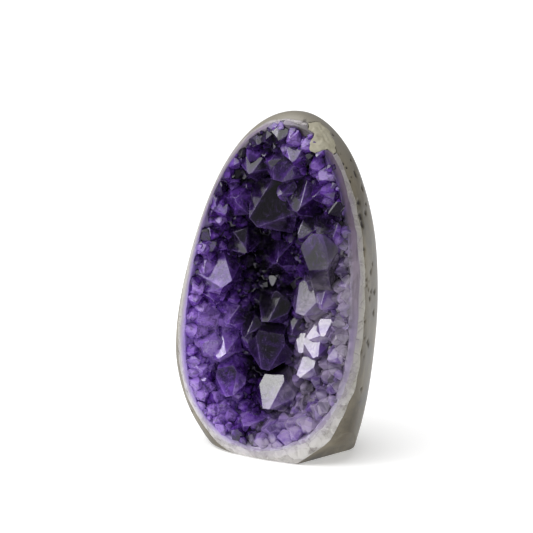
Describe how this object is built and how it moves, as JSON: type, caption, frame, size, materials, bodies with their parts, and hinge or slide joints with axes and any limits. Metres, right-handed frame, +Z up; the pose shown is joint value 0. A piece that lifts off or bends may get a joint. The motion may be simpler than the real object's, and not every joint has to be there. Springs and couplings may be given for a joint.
{
  "type": "amethyst geode",
  "caption": "Upright amethyst geode, ground to an egg and sawn flat underneath, with an open front hollow lined with amethyst crystals inside quartz and basalt",
  "frame": {"origin": "middle of the object's box, on the sawn base", "axes": "+Z up, the open crystal side faces -Y, +X to the right as seen from the open side"},
  "size_m": [0.0686, 0.044, 0.1143],
  "materials": {
    "basalt": "polished dull olive-grey rock with small dark pits",
    "quartz": "polished cloudy white quartz, coarse grains",
    "amethyst_bed": "natural purple druse of small points",
    "amethyst": "natural glassy crystal faces, translucent purple",
    "crust": "matte beige chalcedony crust"
  },
  "bodies": {
    "root": {"basalt_skin": "basalt", "quartz_band": "quartz", "chalcedony_crust": "crust", "amethyst_bed": "amethyst_bed", "crystal_01": "amethyst", "crystal_02": "amethyst", "crystal_03": "amethyst", "crystal_04": "amethyst", "crystal_05": "amethyst", "crystal_06": "amethyst", "crystal_07": "amethyst", "crystal_08": "amethyst", "crystal_09": "amethyst", "crystal_10": "amethyst", "crystal_11": "amethyst", "crystal_12": "amethyst", "crystal_13": "amethyst", "crystal_14": "amethyst", "crystal_15": "amethyst", "crystal_16": "amethyst", "crystal_17": "amethyst", "crystal_18": "amethyst", "crystal_19": "amethyst", "crystal_20": "amethyst", "crystal_21": "amethyst", "crystal_22": "amethyst", "crystal_23": "amethyst", "crystal_24": "amethyst", "crystal_25": "amethyst", "crystal_26": "amethyst", "crystal_27": "amethyst", "crystal_28": "amethyst", "crystal_29": "amethyst", "crystal_30": "amethyst", "crystal_31": "amethyst", "crystal_32": "amethyst", "crystal_33": "amethyst", "crystal_34": "amethyst", "crystal_35": "amethyst", "crystal_36": "amethyst", "crystal_37": "amethyst", "crystal_38": "amethyst", "crystal_39": "amethyst", "crystal_40": "amethyst", "crystal_41": "amethyst", "crystal_42": "amethyst", "crystal_43": "amethyst", "crystal_44": "amethyst", "crystal_45": "amethyst", "crystal_46": "amethyst", "crystal_47": "amethyst", "crystal_48": "amethyst", "crystal_49": "amethyst", "crystal_50": "amethyst", "crystal_51": "amethyst", "crystal_52": "amethyst", "crystal_53": "amethyst", "crystal_54": "amethyst", "crystal_55": "amethyst"}
  },
  "joints": []
}
